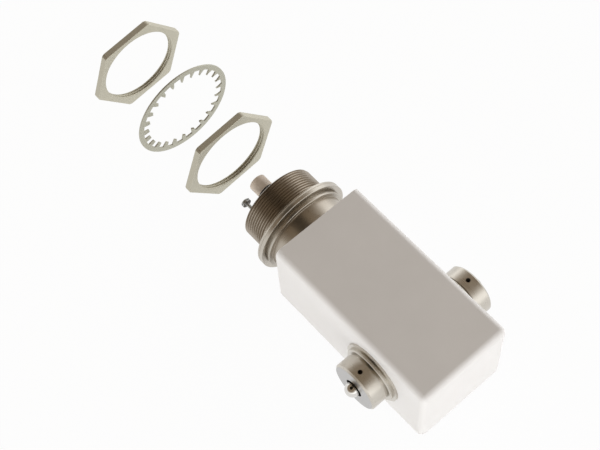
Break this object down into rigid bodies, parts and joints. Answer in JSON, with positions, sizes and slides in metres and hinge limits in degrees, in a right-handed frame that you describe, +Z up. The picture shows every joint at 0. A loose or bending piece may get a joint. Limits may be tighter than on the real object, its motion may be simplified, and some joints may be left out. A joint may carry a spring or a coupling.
{
  "type": "high voltage relay",
  "caption": "Potted high-voltage relay block with a threaded panel boss, side terminals, and its thin hex nuts and toothed lock washer set out along the boss.",
  "frame": {"origin": "on the boss axis, in the plane of the flange face that seats on a panel", "axes": "+Y out along the threaded boss, -Y into the block, X through the two high-voltage terminals, +Z up"},
  "size_m": [0.0768, 0.2215, 0.0508],
  "materials": {
    "cast_white": "cast and slightly glossy",
    "potting": "cast, matt",
    "nickel_plate": "satin nickel plate over turned metal",
    "polished_steel": "polished",
    "tinned_pin": "dull tin plate",
    "post_plastic": "matt moulded",
    "header_board": "laminate sheet",
    "bush_glass": "fired",
    "copper": "drawn copper",
    "bobbin_plastic": "moulded",
    "magnet_iron": "turned",
    "steel": "satin",
    "contact_metal": "turned",
    "terminal_metal": "turned",
    "alumina": "fired, unglazed"
  },
  "bodies": {
    "root": {"block_case": "cast_white", "centre_post": "post_plastic", "ceramic_envelope": "alumina", "coil_bobbin": "bobbin_plastic", "coil_core": "magnet_iron", "coil_leads": "copper", "coil_winding": "copper", "exhaust_tube": "copper", "front_seal_ring": "steel", "header_disc": "header_board", "left_ball_stud": "polished_steel", "left_coil_pin": "tinned_pin", "left_feedthrough_ring": "steel", "left_fixed_contact": "contact_metal", "left_terminal_adapter": "terminal_metal", "left_terminal_cap": "nickel_plate", "mounting_boss": "nickel_plate", "pin_bushings": "bush_glass", "pole_plate": "magnet_iron", "pole_spacer_ring": "steel", "potting_fill": "potting", "rear_seal_cap": "steel", "right_ball_stud": "polished_steel", "right_coil_pin": "tinned_pin", "right_feedthrough_ring": "steel", "right_fixed_contact": "contact_metal", "right_terminal_adapter": "terminal_metal", "right_terminal_cap": "nickel_plate", "yoke_can": "magnet_iron"},
    "armature": {"armature": "magnet_iron", "armature_stem": "steel", "return_spring": "steel", "actuator_rod": "alumina", "contact_bridge": "contact_metal", "bridge_contacts": "contact_metal", "bridge_clip": "steel"},
    "inner_nut": {"inner_nut": "nickel_plate"},
    "lock_washer": {"lock_washer": "nickel_plate"},
    "outer_nut": {"outer_nut": "nickel_plate"}
  },
  "joints": [
    {"name": "armature_slide", "type": "slide", "parent": "root", "child": "armature", "axis": [0, 1, 0], "range_m": [0, 0.0016], "stiffness_N_per_m": 1500, "springref_m": -0.002},
    {"name": "inner_nut_slide", "type": "slide", "parent": "root", "child": "inner_nut", "axis": [0, -1, 0], "range_m": [0, 0.0465]},
    {"name": "lock_washer_slide", "type": "slide", "parent": "inner_nut", "child": "lock_washer", "axis": [0, -1, 0], "range_m": [0, 0.031]},
    {"name": "outer_nut_slide", "type": "slide", "parent": "lock_washer", "child": "outer_nut", "axis": [0, -1, 0], "range_m": [0, 0.0322]}
  ]
}
